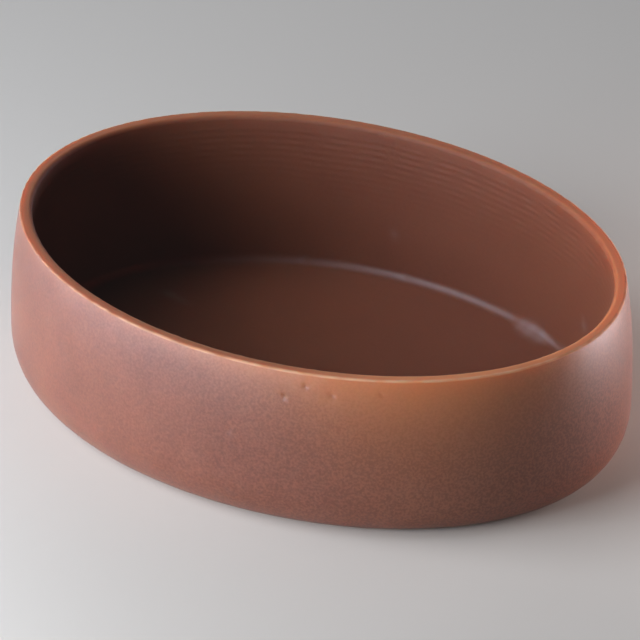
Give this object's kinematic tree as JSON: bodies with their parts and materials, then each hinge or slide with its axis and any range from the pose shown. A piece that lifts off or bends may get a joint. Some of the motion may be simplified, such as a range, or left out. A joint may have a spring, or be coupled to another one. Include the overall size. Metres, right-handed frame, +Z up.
{
  "type": "chocolate cup",
  "caption": "Oval milk chocolate shell with a flat floor, an open top and a thin scraped rim, for filling as a dessert cup.",
  "frame": {"origin": "middle of the flat underside, on the surface that the cup stands on", "axes": "+X along the oval's long axis, +Y along its short axis, +Z up out of the open mouth"},
  "size_m": [0.07, 0.0536, 0.0184],
  "materials": {
    "milk_chocolate": "satin milk chocolate, moulded outside and pressed inside"
  },
  "bodies": {
    "root": {"chocolate_cup": "milk_chocolate"}
  },
  "joints": []
}
